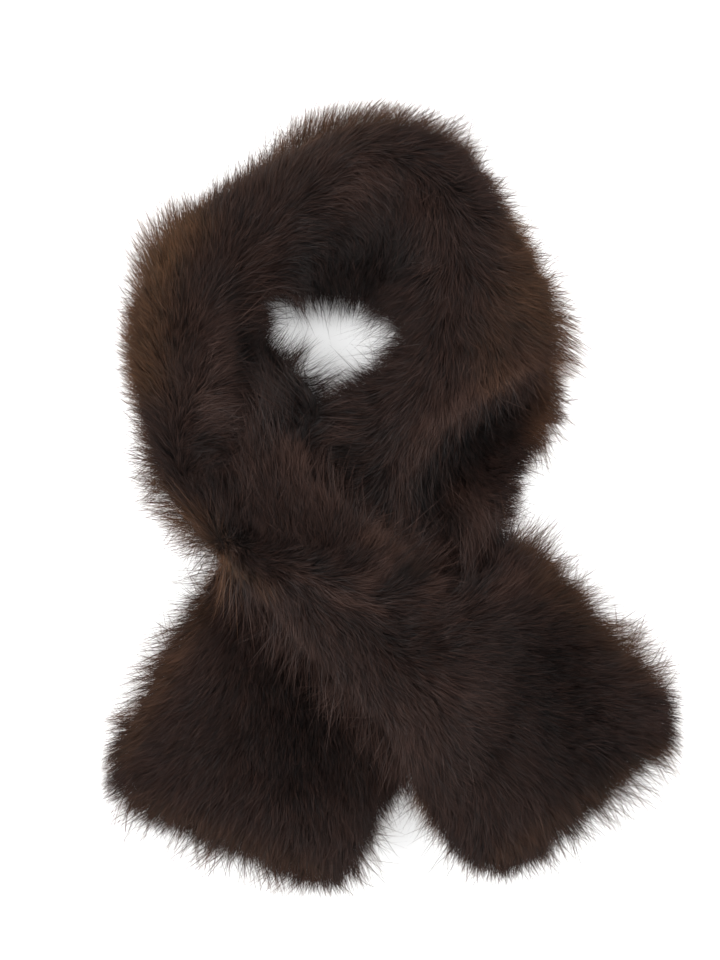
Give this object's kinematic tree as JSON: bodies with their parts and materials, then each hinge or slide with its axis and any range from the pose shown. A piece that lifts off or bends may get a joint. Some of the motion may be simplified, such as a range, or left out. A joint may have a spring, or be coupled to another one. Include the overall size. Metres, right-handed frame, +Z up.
{
  "type": "fur collar wrap",
  "caption": "Long padded fur band laid flat in one turn round a neck opening, with one side crossed over the other and two wide tails spread below.",
  "frame": {"origin": "on the table, under the middle of the whole wrap's box", "axes": "+Y from the tails' ends to the back of the neck, +X to the right as the wrap is seen from above, +Z up from the table"},
  "size_m": [0.3534, 0.4872, 0.0704],
  "materials": {
    "fur": "long soft pile with a silky sheen"
  },
  "bodies": {
    "root": {"upper_tail_face": "fur", "upper_tail_back": "fur", "left_side_face": "fur", "left_side_back": "fur", "neck_back_face": "fur", "neck_back_back": "fur", "right_side_face": "fur", "right_side_back": "fur", "lower_tail_face": "fur", "lower_tail_back": "fur"}
  },
  "joints": []
}
